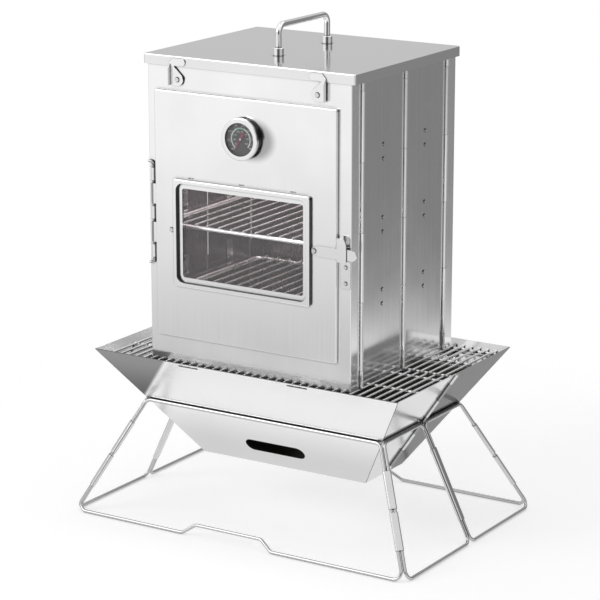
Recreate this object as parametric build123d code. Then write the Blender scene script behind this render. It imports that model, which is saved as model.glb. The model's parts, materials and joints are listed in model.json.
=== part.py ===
from build123d import *
import os
from math import hypot

# A folding camp oven: a stainless box with a glazed door on a folding fire hopper and a folding wire stand.
# Millimetres. X runs along the front, Y from the front to the back, Z up. The origin is on the ground,
# under the middle of the stand.

# ---- stand -------------------------------------------------------------------------------------
stand_wire = 4.5            # wire diameter
stand_width = 509.0         # outside to outside of the feet, along X
stand_depth = 338.0         # outside to outside of the feet, along Y
ring_height = 149.5         # height of the upper wires' centre line
leg_gap = 0.5               # between the two wires of a leg
corner_bend = 9.0           # centre-line radius of the frame corners
rise_height = 13.0          # step of the long ground wires, measured up the leaning frame
rise_left = -62.0           # where the stepped length starts
rise_right = 38.0           # where it ends
rise_run = 18.0             # length of each step along X
sleeve_wall = 0.6
sleeve_play = 0.35          # between sleeve and wire
sleeve_short = 48.0         # two of these on each corner leg
sleeve_long = 98.0          # one of these on each middle leg
sleeve_start = 35.0         # from the upper wire down to the first sleeve
sleeve_space = 5.0          # between the two short sleeves

# ---- fire hopper -------------------------------------------------------------------------------
hopper_sheet = 1.2
hopper_top = 222.0          # height of the rim
hopper_base = 72.0          # height of the lower edge
hopper_ledge_x = 78.0       # oven's side to the rim, outside
hopper_ledge_y = 19.0       # oven's front or back to the rim, outside
hopper_lean_x = 103.5       # how far an end leans in, rim to lower edge
hopper_lean_y = 100.0       # how far a long plate leans in
hopper_seat = 0.3           # running gap between hopper and stand wires
seam_gap = 0.3              # between neighbouring hopper sheets
seam_share = 1.2            # sheet thicknesses that a leaf keeps from the plate it meets
inner_share = 1.25          # sheet thicknesses, level, from the outside to the inside
slot_length = 90.0          # air slot in the front and back plates
slot_width = 21.0
slot_height = 102.0         # height of its centre
notch_length = 30.0         # narrow notches under the rim
notch_width = 3.0
notch_drop = 4.0            # rim to the notch's centre, down the plate
notch_x = 82.0
hopper_barrel = 4.6         # outside diameter of the end hinges
hopper_pin = 2.2
hopper_knuckle = 30.0       # length of a full knuckle
hopper_pin_short = 0.5      # pin ends inside its knuckles, at each end
ash_plate_sheet = 1.0
ash_plate_lift = 2.0        # above the hopper's lower edge
coal_grate_sheet = 1.0
coal_grate_lift = 40.0      # above the hopper's lower edge
coal_hole = 9.0
coal_pitch = 20.0

# ---- cooking grates on the hopper --------------------------------------------------------------
grate_wire = 3.0
grate_bar = 4.0
grate_pitch = 12.0
grate_drop = 4.2            # rim to the top of the grate wires
grate_play = 0.5            # end of a wire to the sloping sheet
grate_split = 3.0           # half of the gap between the two halves
bar_inset = 9.0             # wire end to the middle of the nearest cross bar
weld_share = 0.1            # part of the thinner wire that a weld sinks in

# ---- oven box ----------------------------------------------------------------------------------
oven_width = 300.0
oven_depth = 258.0
oven_height = 396.5         # walls, under the lid
oven_seat = 0.3             # gap between the walls and the grates
sheet = 1.0
front_return = 23.5         # front of the box to the first hinge line
back_return = 25.5          # back of the box to the last hinge line
barrel = 5.0                # outside diameter of a wall hinge
pin = 2.4
pin_play = 0.1              # radial play of a pin in its knuckles
knuckle = 88.0              # length of a full knuckle
knuckle_gap = 0.4
pin_short = 0.5             # pin ends inside its knuckles, at each end
barrel_space = 0.6          # between a barrel and the sheet of the other leaf
barrel_sink = 0.05          # how far a barrel stands inside the sheet's inner face
edge_flange = 12.0          # turned-in flange at the top and bottom of the end panels
wall_bend = 1.4             # outside radius of folded edges
cut_before = 1.0            # how far a hole's cut starts outside its sheet
cut_through = 3.0           # how deep it runs

# ---- lid ---------------------------------------------------------------------------------------
lid_sheet = 0.8
lid_rim = 13.0
lid_play = 0.7              # walls and barrels to the inside of the rim
lid_gap = 0.3               # top of the walls to the underside of the lid
lid_corner = 2.4            # outside radius of the upright corners
lid_edge = 1.8              # outside radius round the top
handle_rod = 8.0
handle_span = 116.0         # between the two feet, along Y
handle_height = 38.0        # lid to the middle of the rod
handle_bend = 11.0
ferrule_diameter = 14.0
ferrule_height = 10.0
ferrule_chamfer = 0.8
handle_screw = 4.0
screw_reach = 9.0           # how far the screw goes up into the handle
screw_room = 0.5            # hole beyond the screw's end
screw_head = 8.0
screw_head_height = 2.4
screw_play = 0.1            # radial

# ---- door --------------------------------------------------------------------------------------
door_from_left = 12.9       # box's side to the door's edge
door_from_right = 18.5
door_from_low = 34.9        # walls' lower edge to the door's
door_from_high = 43.1       # walls' upper edge to the door's
door_proud = 5.4            # front panel to the door's outer face
door_gap = 0.4              # front panel to the door's turned edge
door_corner = 3.0
door_edge = 1.2             # outside radius of the turned edges
opening_lap = 9.0           # how far the door laps over the edge of its opening
opening_corner = 6.0
hinge_rod = 3.0
hinge_rod_away = 5.2        # door's edge to the rod's centre line
hinge_rod_length = 132.0
hinge_rod_bend = 4.5
hinge_rod_tail = 7.0        # how far both bent ends reach
lug_length = 16.0
lug_pitch = 50.0
lug_wall = 1.0
lug_play = 0.08
lug_gap = 0.05              # rolled lug to the front panel
lug_inset = 1.5             # box's side to the end of a lug's foot
door_knuckle = 26.0         # length of the door's knuckles, between the lugs

# ---- window in the door ------------------------------------------------------------------------
window_shift = -3.1         # window's middle from the door's middle, along X
window_drop = 20.95         # below the door's middle
frame_width = 203.5
frame_height = 139.0
frame_proud = 4.5
frame_sheet = 1.0
frame_corner = 4.0
frame_edge = 1.2            # outside radius round the front
frame_lip = 4.75            # frame's outer edge to its opening
frame_open_corner = 10.0
gasket_play = 0.4           # gasket to the frame's outer walls
gasket_corner = 3.0
view_lip = 7.0              # frame's opening to the hole in the door sheet
view_corner = 3.0
glass_thick = 3.0
glass_lap = 5.0             # glass beyond the hole in the door sheet
glass_play = 0.5
glass_corner = 2.0
clamp_sheet = 1.0
clamp_lap = 3.5             # how far the clamp holds the edge of the glass
clamp_ear = 14.0            # height of the ears at the rivets
clamp_ear_reach = 6.0       # rivet to the end of an ear
clamp_lug = 12.0            # width of the lugs behind the slots
window_rivet_away = 4.85    # frame's side to the rivet
window_rivet_rise = 2.2     # window's middle up to the rivets
tab_slot_length = 8.0
tab_slot_width = 1.6
tab_slot_pitch = 76.0
tab_slot_rise = 2.4         # middle of a slot above the window frame

# ---- thermometer -------------------------------------------------------------------------------
dial_shift = -0.6           # from the door's middle, along X
dial_drop = 49.3            # door's upper edge down to the dial's centre
dial_case = 49.0
dial_depth = 8.0
dial_ring = 53.0
dial_ring_depth = 4.0
dial_ring_proud = 1.2       # ring in front of the case
dial_ring_edge = 1.0
dial_ring_play = 0.05       # radial, ring to case
dial_view = 42.0
dial_wall = 1.0
dial_plate_thick = 0.6
dial_plate_deep = 3.0       # case's front to the plate
dial_play = 0.1             # radial, plate and lens in the case
lens_thick = 1.2
needle_tip = 16.0
needle_tail = 10.0
needle_width = 3.6
needle_root = 1.8           # width of the thin arm at the hub
needle_end = 0.6            # width at the tip
needle_hub = 3.2
needle_thick = 0.4
needle_gap = 0.3            # needle to the plate
needle_cap = 2.2            # bright cap on the hub
needle_cap_proud = 0.6
needle_angle = 240.0        # direction of the tip, seen from the front
needle_pin = 1.6
needle_pin_play = 0.1       # radial
needle_pin_short = 0.2      # spindle's end to the stem's end face
stem_diameter = 6.0
stem_length = 48.0
nut_width = 12.0
nut_height = 5.0
nut_play = 0.02             # radial

# ---- latch and lid clips -----------------------------------------------------------------------
strap_height = 13.5
strap_thick = 1.2
strap_reach = 11.0          # box's side to the end of the strap
strap_root = 4.4            # radius round the pivot
strap_flare = 6.0           # pivot to the strap's full height
thumb_plate_inset = 15.8    # box's side to the plate's left edge
thumb_plate_width = 13.2
thumb_plate_low = 9.5       # pivot down to the plate's lower edge
thumb_plate_high = 20.6     # pivot up to its upper edge
thumb_plate_step = 2.2      # strap to plate
thumb_plate_round = 9.0     # radius of the upper outer corner
keeper_inset = 13.5         # box's side to the keeper's left edge
keeper_width = 13.0
keeper_sheet = 1.2
keeper_reach = 7.3
keeper_play = 0.3           # shelf to the strap
keeper_rivet_drops = (16.7, 37.1)      # pivot down to each rivet
keeper_tail = 6.5           # lower rivet down to the keeper's edge
rivet_head = 7.0
rivet_shank = 4.0
rivet_rise = 1.3
rivet_play = 0.05
rivet_tail = 1.0            # height of an upset tail
rivet_spread = 1.6          # how much wider a tail is than its shank
head_taper = 30.0           # slope of a rivet head, in degrees
clip_inset = 47.0           # box's side to a clip's rivet
clip_drop = 28.2            # walls' upper edge down to a clip's rivet
clip_sheet = 1.0
clip_play = 0.4
clip_foot = 8.2             # radius round the rivet
clip_hook_low = 17.3        # rivet up to the hook's underside
clip_hook_high = 26.6       # rivet up to the top
clip_hook_reach = 6.9       # rivet to the middle of the hook's round end
clip_neck = 4.6             # rivet to the end of the gap under the hook
clip_neck_gap = 1.8
clip_lean_x = 6.15          # rivet to the foot of the slope
clip_lean_z = 5.4
clip_chamfer = 5.5          # outer upper corner
clip_flange = 6.0           # finger flange, turned to the front
clip_flange_x = 11.5        # rivet out to the flange
clip_flange_low = 7.5       # rivet down to its lower end
clip_flange_high = 14.0     # rivet up to its outer upper corner
clip_shoulder = 3.0         # rivet's diameter in the front panel

# ---- racks and their brackets ------------------------------------------------------------------
shelf_sheet = 1.0
shelf_reach = 12.0
shelf_width = 14.0
shelf_drop = 16.0           # lower rivet down to the top of the shelf
shelf_rise = 24.0           # lower rivet up to the top of the bracket
shelf_rivet_pitch = 18.3
shelf_first = 97.4          # walls' lower edge up to the lowest bracket's lower rivet
shelf_step = 92.25          # level to level
shelf_count = 3
wall_rivet = 5.6
wall_rivet_shank = 3.0
wall_rivet_sink = 0.5       # how far a head starts inside the sheet
rack_rail = 5.0
rack_rod = 2.6
rack_pitch = 18.3
rack_play = 2.2             # rail to the bracket, each side
rack_seat = 0.3
rack_inset = 17.0           # box's front and back to the rack's middle wire
rack_corner = 10.0
rod_end = 1.0               # how far a rod passes the rail's centre line

# ---- derived places ----------------------------------------------------------------------------
wire_r = stand_wire / 2
foot_x = stand_width / 2 - wire_r
foot_y = stand_depth / 2 - wire_r
front_y = -oven_depth / 2
back_y = oven_depth / 2
side_x = oven_width / 2
hopper_rim_x = side_x + hopper_ledge_x
hopper_rim_y = back_y + hopper_ledge_y
hopper_base_x = hopper_rim_x - hopper_lean_x
hopper_base_y = hopper_rim_y - hopper_lean_y
hopper_height = hopper_top - hopper_base
slope_x = hopper_lean_x / hopper_height
slope_y = hopper_lean_y / hopper_height


def hopper_x(z):
    """Outside half width of the hopper at height z."""
    return hopper_base_x + slope_x * (z - hopper_base)


def hopper_y(z):
    """Outside half depth of the hopper at height z."""
    return hopper_base_y + slope_y * (z - hopper_base)


ring_x = hopper_x(ring_height) + (wire_r + hopper_seat) * hypot(1, slope_x)
ring_y = hopper_y(ring_height) + (wire_r + hopper_seat) * hypot(1, slope_y)
grate_top = hopper_top - grate_drop
grate_z = grate_top - grate_wire / 2
bar_z = grate_top - grate_wire - grate_bar / 2
wall_low = grate_top + oven_seat
wall_high = wall_low + oven_height
lid_low = wall_high + lid_gap
lid_top = lid_low + lid_sheet
leaf_pitch = (oven_depth - front_return - back_return) / 2
hinge_lines = [front_y + front_return + leaf_pitch * i for i in range(3)]
leaf_middles = [(a + b) / 2 for a, b in zip(hinge_lines, hinge_lines[1:])]
pin_x = side_x - sheet + barrel / 2 - barrel_sink
leaf_space = barrel / 2 + barrel_space
rack_half = side_x - sheet - shelf_sheet - rack_play - rack_rail / 2
shelf_levels = [wall_low + shelf_first + shelf_step * i for i in range(shelf_count)]
rivet_heights = [z + step for z in shelf_levels for step in (0, shelf_rivet_pitch)]
wall_hole = wall_rivet_shank + 2 * rivet_play

lid_half_x = pin_x + barrel / 2 + lid_play + lid_sheet
lid_half_y = oven_depth / 2 + lid_play + lid_sheet
handle_feet = (-handle_span / 2, handle_span / 2)

door_left = -side_x + door_from_left
door_right = side_x - door_from_right
door_bottom = wall_low + door_from_low
door_top = wall_high - door_from_high
door_x = (door_left + door_right) / 2
door_z = (door_bottom + door_top) / 2
door_y = front_y - door_proud
door_back = front_y - door_gap
lug_radius = hinge_rod / 2 + lug_play + lug_wall
hinge_rod_x = door_left - hinge_rod_away
hinge_rod_y = front_y - lug_radius - lug_gap
lug_heights = [door_z + lug_pitch * k for k in (-1, 0, 1)]
knuckle_heights = [door_z + lug_pitch * k for k in (-0.5, 0.5)]

window_x = door_x + window_shift
window_z = door_z - window_drop
open_width = frame_width - 2 * frame_lip
open_height = frame_height - 2 * frame_lip
view_width = open_width - 2 * view_lip
view_height = open_height - 2 * view_lip
window_rivet_x = frame_width / 2 + window_rivet_away
window_rivets = [window_x - window_rivet_x, window_x + window_rivet_x]
window_rivet_z = window_z + window_rivet_rise
slot_places = [window_x + tab_slot_pitch * k for k in (-1, 0, 1)]
slot_z = window_z + frame_height / 2 + tab_slot_rise

dial_x = door_x + dial_shift
dial_z = door_top - dial_drop
case_front = door_y - dial_depth
ring_front = case_front - dial_ring_proud
plate_front = case_front + dial_plate_deep
needle_front = plate_front - needle_gap - needle_thick
dial_room = dial_case - 2 * dial_wall - 2 * dial_play

latch_x = window_rivets[1]
latch_z = window_rivet_z
strap_y = door_y - rivet_play - strap_thick
strap_end = side_x + strap_reach
plate_y = strap_y - thumb_plate_step + strap_thick
keeper_x = side_x - keeper_inset + keeper_width / 2
keeper_rivets = [latch_z - drop for drop in keeper_rivet_drops]
clip_x = side_x - clip_inset
clip_z = wall_high - clip_drop
clip_y = front_y - lid_play - lid_sheet - clip_play

os.makedirs("parts", exist_ok=True)


# ---- helpers -----------------------------------------------------------------------------------
def save(name, shape):
    """Write one sub-part."""
    export_step(shape, f"parts/{name}.step")


def group(solids):
    """Several separate solids that share a node."""
    return Compound(children=list(solids))


def block(x, y, z):
    """Box between two values on each axis."""
    centre = Pos(sum(x) / 2, sum(y) / 2, sum(z) / 2)
    return centre * Box(abs(x[1] - x[0]), abs(y[1] - y[0]), abs(z[1] - z[0]))


def rod(start, end, diameter):
    """Round bar from one point to another."""
    run = Vector(*end) - Vector(*start)
    return extrude(Plane(origin=start, z_dir=run) * Circle(diameter / 2), run.length)


def bent_wire(points, bend, diameter, close=False):
    """Round wire along straight runs with the same bend at every corner."""
    path = FilletPolyline(*points, radius=bend, close=close)
    start = Plane(origin=path @ 0, z_dir=path % 0)
    return sweep(start * Circle(diameter / 2), path=path)


def front_plane(x, z, y=0):
    """Plane that faces the front, with its own X along X and its own Y up."""
    return Plane(origin=(x, y, z), x_dir=(1, 0, 0), z_dir=(0, -1, 0))


def round_plate(x, z, width, height, corner, y_front, thick):
    """Upright plate with rounded corners, its front face at y_front."""
    outline = front_plane(x, z, y_front + thick) * RectangleRounded(width, height, corner)
    return extrude(outline, thick)


def disc(x, z, diameter, y_front, thick):
    """Upright disc, its front face at y_front."""
    return extrude(front_plane(x, z, y_front + thick) * Circle(diameter / 2), thick)


def mirror_x(shape):
    """The same piece on the other side of the X = 0 plane."""
    return mirror(shape, about=Plane.YZ)


def mirror_y(shape):
    """The same piece on the other side of the Y = 0 plane."""
    return mirror(shape, about=Plane.XZ)


# ---- stand: six bent wire frames, joined leg to leg by flat sleeves ------------------------------
leg_down = Vector(foot_x - ring_x, -(foot_y - ring_y), wire_r - ring_height)
front_lean = Vector(0, leg_down.Y, leg_down.Z)
side_lean = Vector(leg_down.X, 0, leg_down.Z)
front_normal = Vector(1, 0, 0).cross(front_lean).normalized()
side_normal = Vector(0, 1, 0).cross(side_lean).normalized()
leg_axis = leg_down.normalized()
leg_in_front = front_normal.cross(leg_axis).normalized()
leg_in_side = side_normal.cross(leg_axis).normalized()
if leg_in_front.X > 0:
    leg_in_front = -leg_in_front
if leg_in_side.Y < 0:
    leg_in_side = -leg_in_side
leg_spread = (leg_in_front - leg_in_side).length
leg_shift = (stand_wire + leg_gap) / leg_spread
middle_shift = (stand_wire + leg_gap) / 2


def along_front(shift):
    """Step along X that moves a leg of the front frame inwards by shift, square to the leg."""
    return shift / abs(leg_in_front.X)


def along_side(shift):
    """Step along Y that moves a leg of a side frame inwards by shift, square to the leg."""
    return shift / abs(leg_in_side.Y)


def front_point(x, rise):
    """Point of the leaning front frame, rise being measured up the frame from the ground wire."""
    share = rise / front_lean.length
    return (x, -(foot_y + (ring_y - foot_y) * share), wire_r + (ring_height - wire_r) * share)


def long_frame():
    """Front frame of the stand, with the stepped ground wire."""
    low = foot_x - along_front(leg_shift)
    high = ring_x - along_front(leg_shift)
    top = front_lean.length
    points = [
        front_point(high, top),
        front_point(low, 0),
        front_point(rise_right + rise_run, 0),
        front_point(rise_right, rise_height),
        front_point(rise_left, rise_height),
        front_point(rise_left - rise_run, 0),
        front_point(-low, 0),
        front_point(-high, top),
    ]
    return bent_wire(points, corner_bend, stand_wire, close=True)


def short_frame():
    """Front half of the right side: one frame from the corner leg to the middle leg."""
    corner_low = -(foot_y - along_side(leg_shift))
    corner_high = -(ring_y - along_side(leg_shift))
    middle = -middle_shift
    points = [
        (ring_x, middle, ring_height),
        (foot_x, middle, wire_r),
        (foot_x, corner_low, wire_r),
        (ring_x, corner_high, ring_height),
    ]
    return bent_wire(points, corner_bend, stand_wire, close=True)


def sleeve(start, along, across, spread, length):
    """Flat tube round the two wires of a leg."""
    inner = stand_wire / 2 + sleeve_play
    outer = inner + sleeve_wall
    section = Plane(origin=start, x_dir=across, z_dir=along)
    hollow = SlotCenterToCenter(spread, 2 * outer) - SlotCenterToCenter(spread, 2 * inner)
    return extrude(section * hollow, length)


def corner_sleeves():
    """The two short sleeves of the front right leg."""
    across = (leg_in_front - leg_in_side).normalized()
    top = Vector(ring_x, -ring_y, ring_height) + (leg_in_front + leg_in_side) * (leg_shift / 2)
    starts = [sleeve_start, sleeve_start + sleeve_short + sleeve_space]
    spread = stand_wire + leg_gap
    return group(sleeve(top + leg_axis * s, leg_axis, across, spread, sleeve_short) for s in starts)


def middle_sleeve():
    """The long sleeve of the right middle leg."""
    along = side_lean.normalized()
    top = Vector(ring_x, 0, ring_height) + along * sleeve_start
    return sleeve(top, along, (0, 1, 0), stand_wire + leg_gap, sleeve_long)


stand_front = long_frame()
stand_right_front = short_frame()
right_front_sleeves = corner_sleeves()
right_middle_sleeve = middle_sleeve()
save("stand_front_frame", stand_front)
save("stand_back_frame", mirror_y(stand_front))
save("stand_right_front_frame", stand_right_front)
save("stand_right_rear_frame", mirror_y(stand_right_front))
save("stand_left_front_frame", mirror_x(stand_right_front))
save("stand_left_rear_frame", mirror_x(mirror_y(stand_right_front)))
save("stand_sleeves_front_right", right_front_sleeves)
save("stand_sleeves_back_right", mirror_y(right_front_sleeves))
save("stand_sleeves_front_left", mirror_x(right_front_sleeves))
save("stand_sleeves_back_left", mirror_x(mirror_y(right_front_sleeves)))
save("stand_sleeve_right", right_middle_sleeve)
save("stand_sleeve_left", mirror_x(right_middle_sleeve))


# ---- fire hopper: two long plates, four hinged end leaves ---------------------------------------
end_slant = Vector(slope_x, 0, 1).normalized()
front_out = Vector(0, -1, -slope_y).normalized()
end_out = Vector(1, 0, -slope_x).normalized()
front_run = hopper_height * hypot(1, slope_y)
end_run = hopper_height * hypot(1, slope_x)
leaf_clear = hopper_barrel / 2 + barrel_space


def long_plate():
    """Front plate of the hopper: a trapezium with the air slot and two notches under the rim."""
    face = Plane(origin=(0, -hopper_base_y, hopper_base), x_dir=(1, 0, 0), z_dir=front_out)
    outline = Polyline(
        (-hopper_base_x, 0),
        (hopper_base_x, 0),
        (hopper_rim_x, front_run),
        (-hopper_rim_x, front_run),
        close=True,
    )
    slot_up = (slot_height - hopper_base) * hypot(1, slope_y)
    cuts = Pos(0, slot_up) * SlotOverall(slot_length, slot_width)
    for x in (-notch_x, notch_x):
        cuts += Pos(x, front_run - notch_drop) * SlotOverall(notch_length, notch_width)
    return extrude(face * (make_face(outline) - cuts), -hopper_sheet)


def hinge_section(up):
    """Section plane of the right end hinge, its X along Y and its Y square to the end."""
    centre = Vector(hopper_base_x, 0, hopper_base) + end_slant * up
    centre += end_out * (hopper_barrel / 2 - hopper_sheet - barrel_sink)
    return Plane(origin=centre, x_dir=(0, -1, 0), z_dir=end_slant)


def knuckles(first):
    """Every second knuckle of the right end hinge, rolled from the front leaf's sheet."""
    middle = end_run / 2
    half = int(middle / hopper_knuckle - 0.5)
    marks = [middle + hopper_knuckle * (k + 0.5) for k in range(-half - 1, half + 1)]
    marks = [0] + marks + [end_run]
    tongue_y = hopper_sheet / 2 + barrel_sink - hopper_barrel / 2
    ring = Circle(hopper_barrel / 2)
    ring += Pos(leaf_clear / 2, tongue_y) * Rectangle(leaf_clear, hopper_sheet)
    ring -= Circle(hopper_pin / 2 + pin_play)
    made = None
    for low, high in list(zip(marks, marks[1:]))[first::2]:
        start = low + (knuckle_gap / 2 if low > 0 else 0)
        end = high - (knuckle_gap / 2 if high < end_run else 0)
        piece = extrude(hinge_section(start) * ring, end - start)
        made = piece if made is None else made + piece
    return made


def end_leaf(first):
    """Front leaf of the right end with every second knuckle, counted from first."""
    face = Plane(origin=(hopper_base_x, 0, hopper_base), x_dir=(0, 1, 0), z_dir=end_out)
    corner = hopper_sheet * seam_share + seam_gap
    outline = Polyline(
        (-leaf_clear, 0),
        (-leaf_clear, end_run),
        (corner - hopper_rim_y, end_run),
        (corner - hopper_base_y, 0),
        close=True,
    )
    return extrude(face * make_face(outline), -hopper_sheet) + knuckles(first)


def end_pin():
    """Pin of the right end hinge."""
    return extrude(hinge_section(hopper_pin_short) * Circle(hopper_pin / 2), end_run - 2 * hopper_pin_short)


front_plate = long_plate()
leaf_front = end_leaf(0)
leaf_rear = mirror_y(end_leaf(1))
hopper_pin_right = end_pin()
save("hopper_front_plate", front_plate)
save("hopper_back_plate", mirror_y(front_plate))
save("hopper_leaf_right_front", leaf_front)
save("hopper_leaf_right_rear", leaf_rear)
save("hopper_leaf_left_front", mirror_x(leaf_front))
save("hopper_leaf_left_rear", mirror_x(leaf_rear))
save("hopper_hinge_pins", group([hopper_pin_right, mirror_x(hopper_pin_right)]))


def flat_plate(z, thick):
    """Level plate that rests on the four sloping sheets inside the hopper."""
    inner = hopper_sheet * inner_share + hopper_seat
    x = hopper_x(z) - inner
    y = hopper_y(z) - inner
    return block((-x, x), (-y, y), (z, z + thick))


def coal_grate():
    """Perforated plate that carries the charcoal above the air slots."""
    z = hopper_base + coal_grate_lift
    plate = flat_plate(z, coal_grate_sheet)
    size = plate.bounding_box().size
    across = int(size.X // coal_pitch) - 1
    deep = int(size.Y // coal_pitch) - 1
    hole = Box(coal_hole, coal_hole, 4 * coal_grate_sheet)
    spots = GridLocations(coal_pitch, coal_pitch, across, deep)
    return plate - [Pos(0, 0, z) * spot * hole for spot in spots]


save("ash_plate", flat_plate(hopper_base + ash_plate_lift, ash_plate_sheet))
save("coal_grate", coal_grate())


# ---- cooking grates ----------------------------------------------------------------------------
def cooking_grate():
    """Front half: wires from the rim to the middle, welded on three cross bars."""
    inner = hopper_sheet * inner_share + grate_play
    reach_y = hopper_y(grate_z - grate_wire / 2) - inner
    reach_x = hopper_x(bar_z - grate_bar / 2) - inner
    count = int(2 * (reach_x - grate_wire) // grate_pitch) + 1
    made = None
    for i in range(count):
        x = (i - (count - 1) / 2) * grate_pitch
        piece = rod((x, -reach_y, grate_z), (x, -grate_split, grate_z), grate_wire)
        made = piece if made is None else made + piece
    z = bar_z + grate_wire * weld_share
    for y in (bar_inset - reach_y, -(reach_y + grate_split) / 2, -grate_split - bar_inset):
        made += rod((-reach_x, y, z), (reach_x, y, z), grate_bar)
    return made


front_grate = cooking_grate()
save("grate_front", front_grate)
save("grate_rear", mirror_y(front_grate))


# ---- oven box: two end panels and four side leaves on upright piano hinges -----------------------
middle_z = (wall_low + wall_high) / 2
breaks = [middle_z + knuckle * k for k in range(-2, 3)]
breaks = [wall_low] + breaks + [wall_high]


def wall_knuckles(y, toward, first):
    """Every second knuckle of the right wall's hinge at y; toward is the side its sheet comes from."""
    made = None
    for low, high in list(zip(breaks, breaks[1:]))[first::2]:
        low_z = low + (knuckle_gap / 2 if low > wall_low else 0)
        high_z = high - (knuckle_gap / 2 if high < wall_high else 0)
        section = Pos(pin_x, y) * Circle(barrel / 2)
        strip = leaf_space + sheet
        section += Pos(side_x - sheet / 2, y + toward * strip / 2) * Rectangle(sheet, strip)
        section -= Pos(pin_x, y) * Circle(pin / 2 + pin_play)
        piece = Pos(0, 0, low_z) * extrude(section, high_z - low_z)
        made = piece if made is None else made + piece
    return made


def wall_bore(y, z):
    """Hole through the right wall and whatever is riveted to it."""
    return rod((side_x - 4 * sheet, y, z), (side_x + sheet, y, z), wall_hole)


def side_leaf(start, end, middle):
    """Right wall sheet between two hinge lines, with its knuckles and rivet holes."""
    leaf = block((side_x - sheet, side_x), (start + leaf_space, end - leaf_space), (wall_low, wall_high))
    leaf += wall_knuckles(start, 1, 1)
    leaf += wall_knuckles(end, -1, 0)
    for z in rivet_heights:
        leaf -= wall_bore(middle, z)
    return leaf


def end_panel(depth):
    """U-shaped end sheet at the front, its returns ending short of the first hinge line."""
    inner = wall_bend - sheet
    bow = Pos(0, front_y + depth) * RectangleRounded(oven_width, 2 * depth, wall_bend)
    bow -= Pos(0, front_y + depth) * RectangleRounded(oven_width - 2 * sheet, 2 * (depth - sheet), inner)
    bow -= Pos(0, front_y + 2 * depth - leaf_space) * Rectangle(2 * oven_width, 2 * depth)
    panel = Pos(0, 0, wall_low) * extrude(bow, oven_height)
    flange_x = side_x - 2 * sheet
    for low in (wall_low, wall_high - sheet):
        panel += block((-flange_x, flange_x), (front_y, front_y + edge_flange), (low, low + sheet))
    return panel


front_panel = end_panel(front_return)
front_knuckles = wall_knuckles(hinge_lines[0], -1, 0)
front_panel += front_knuckles
front_panel += mirror_x(front_knuckles)
back_panel = mirror_y(end_panel(back_return))
back_knuckles = wall_knuckles(hinge_lines[2], 1, 1)
back_panel += back_knuckles
back_panel += mirror_x(back_knuckles)
right_front_leaf = side_leaf(hinge_lines[0], hinge_lines[1], leaf_middles[0])
right_rear_leaf = side_leaf(hinge_lines[1], hinge_lines[2], leaf_middles[1])
pin_low = wall_low + pin_short
pin_high = wall_high - pin_short
wall_pins = [rod((pin_x, y, pin_low), (pin_x, y, pin_high), pin) for y in hinge_lines]


def shelf_bracket(y, z):
    """Angle inside the right wall: two rivet holes above a shelf tab."""
    wall = side_x - sheet
    top = z - shelf_drop
    edge = shelf_width / 2
    angle = block((wall - shelf_sheet, wall), (y - edge, y + edge), (top - shelf_sheet, z + shelf_rise))
    angle += block((wall - shelf_reach, wall), (y - edge, y + edge), (top - shelf_sheet, top))
    for step in (0, shelf_rivet_pitch):
        angle -= wall_bore(y, z + step)
    return angle


def bracket_rivet(y, z):
    """Rivet through the right wall and a bracket, its tail upset inside."""
    inside = side_x - sheet - shelf_sheet
    end = inside - rivet_tail
    head = Plane(origin=(side_x, y, z), x_dir=(0, 1, 0), z_dir=(1, 0, 0)) * Circle(wall_rivet / 2)
    piece = rod((end, y, z), (side_x + wall_rivet_sink, y, z), wall_rivet_shank)
    piece += extrude(head, rivet_rise, taper=head_taper)
    return piece + rod((end, y, z), (inside, y, z), wall_rivet_shank + rivet_spread)


places = [(y, z) for y in leaf_middles for z in shelf_levels]
right_brackets = [shelf_bracket(y, z) for y, z in places]
right_rivets = [bracket_rivet(y, z) for y in leaf_middles for z in rivet_heights]


# ---- racks -------------------------------------------------------------------------------------
def rack(level):
    """Wire shelf lying on four brackets."""
    z = level - shelf_drop + rack_seat + rack_rail / 2
    front = front_y + rack_inset
    back = back_y - rack_inset
    corners = [(-rack_half, front, z), (rack_half, front, z), (rack_half, back, z), (-rack_half, back, z)]
    made = bent_wire(corners, rack_corner, rack_rail, close=True)
    count = int((2 * rack_half - 2 * rack_corner) // rack_pitch) + 1
    lift = (rack_rail + rack_rod) / 2 - rack_rod * weld_share
    for i in range(count):
        x = (i - (count - 1) / 2) * rack_pitch
        made += rod((x, front - rod_end, z + lift), (x, back + rod_end, z + lift), rack_rod)
    return made


# ---- lid ---------------------------------------------------------------------------------------
def lid_tray():
    """Shallow tray with rounded edges and two holes for the handle screws."""
    z = lid_top - lid_rim
    outer = block((-lid_half_x, lid_half_x), (-lid_half_y, lid_half_y), (z, lid_top))
    outer = fillet(outer.edges().filter_by(Axis.Z), lid_corner)
    outer = fillet(outer.faces().sort_by(Axis.Z)[-1].edges(), lid_edge)
    x = lid_half_x - lid_sheet
    y = lid_half_y - lid_sheet
    inner = block((-x, x), (-y, y), (z - cut_before, lid_low))
    inner = fillet(inner.edges().filter_by(Axis.Z), lid_corner - lid_sheet)
    inner = fillet(inner.faces().sort_by(Axis.Z)[-1].edges(), lid_edge - lid_sheet)
    tray = outer - inner
    for y in handle_feet:
        hole_low = (0, y, lid_low - cut_before)
        tray -= rod(hole_low, (0, y, lid_top + cut_before), handle_screw + 2 * screw_play)
    return tray


def lid_handle():
    """Round bar bent to a U, drilled at both feet for the screws."""
    half = handle_span / 2
    top = lid_top + handle_height
    points = [(0, -half, lid_top), (0, -half, top), (0, half, top), (0, half, lid_top)]
    bar = bent_wire(points, handle_bend, handle_rod)
    for y in handle_feet:
        hole_end = (0, y, lid_top + screw_reach + screw_room)
        bar -= rod((0, y, lid_top - cut_before), hole_end, handle_screw + 2 * screw_play)
    return bar


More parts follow.
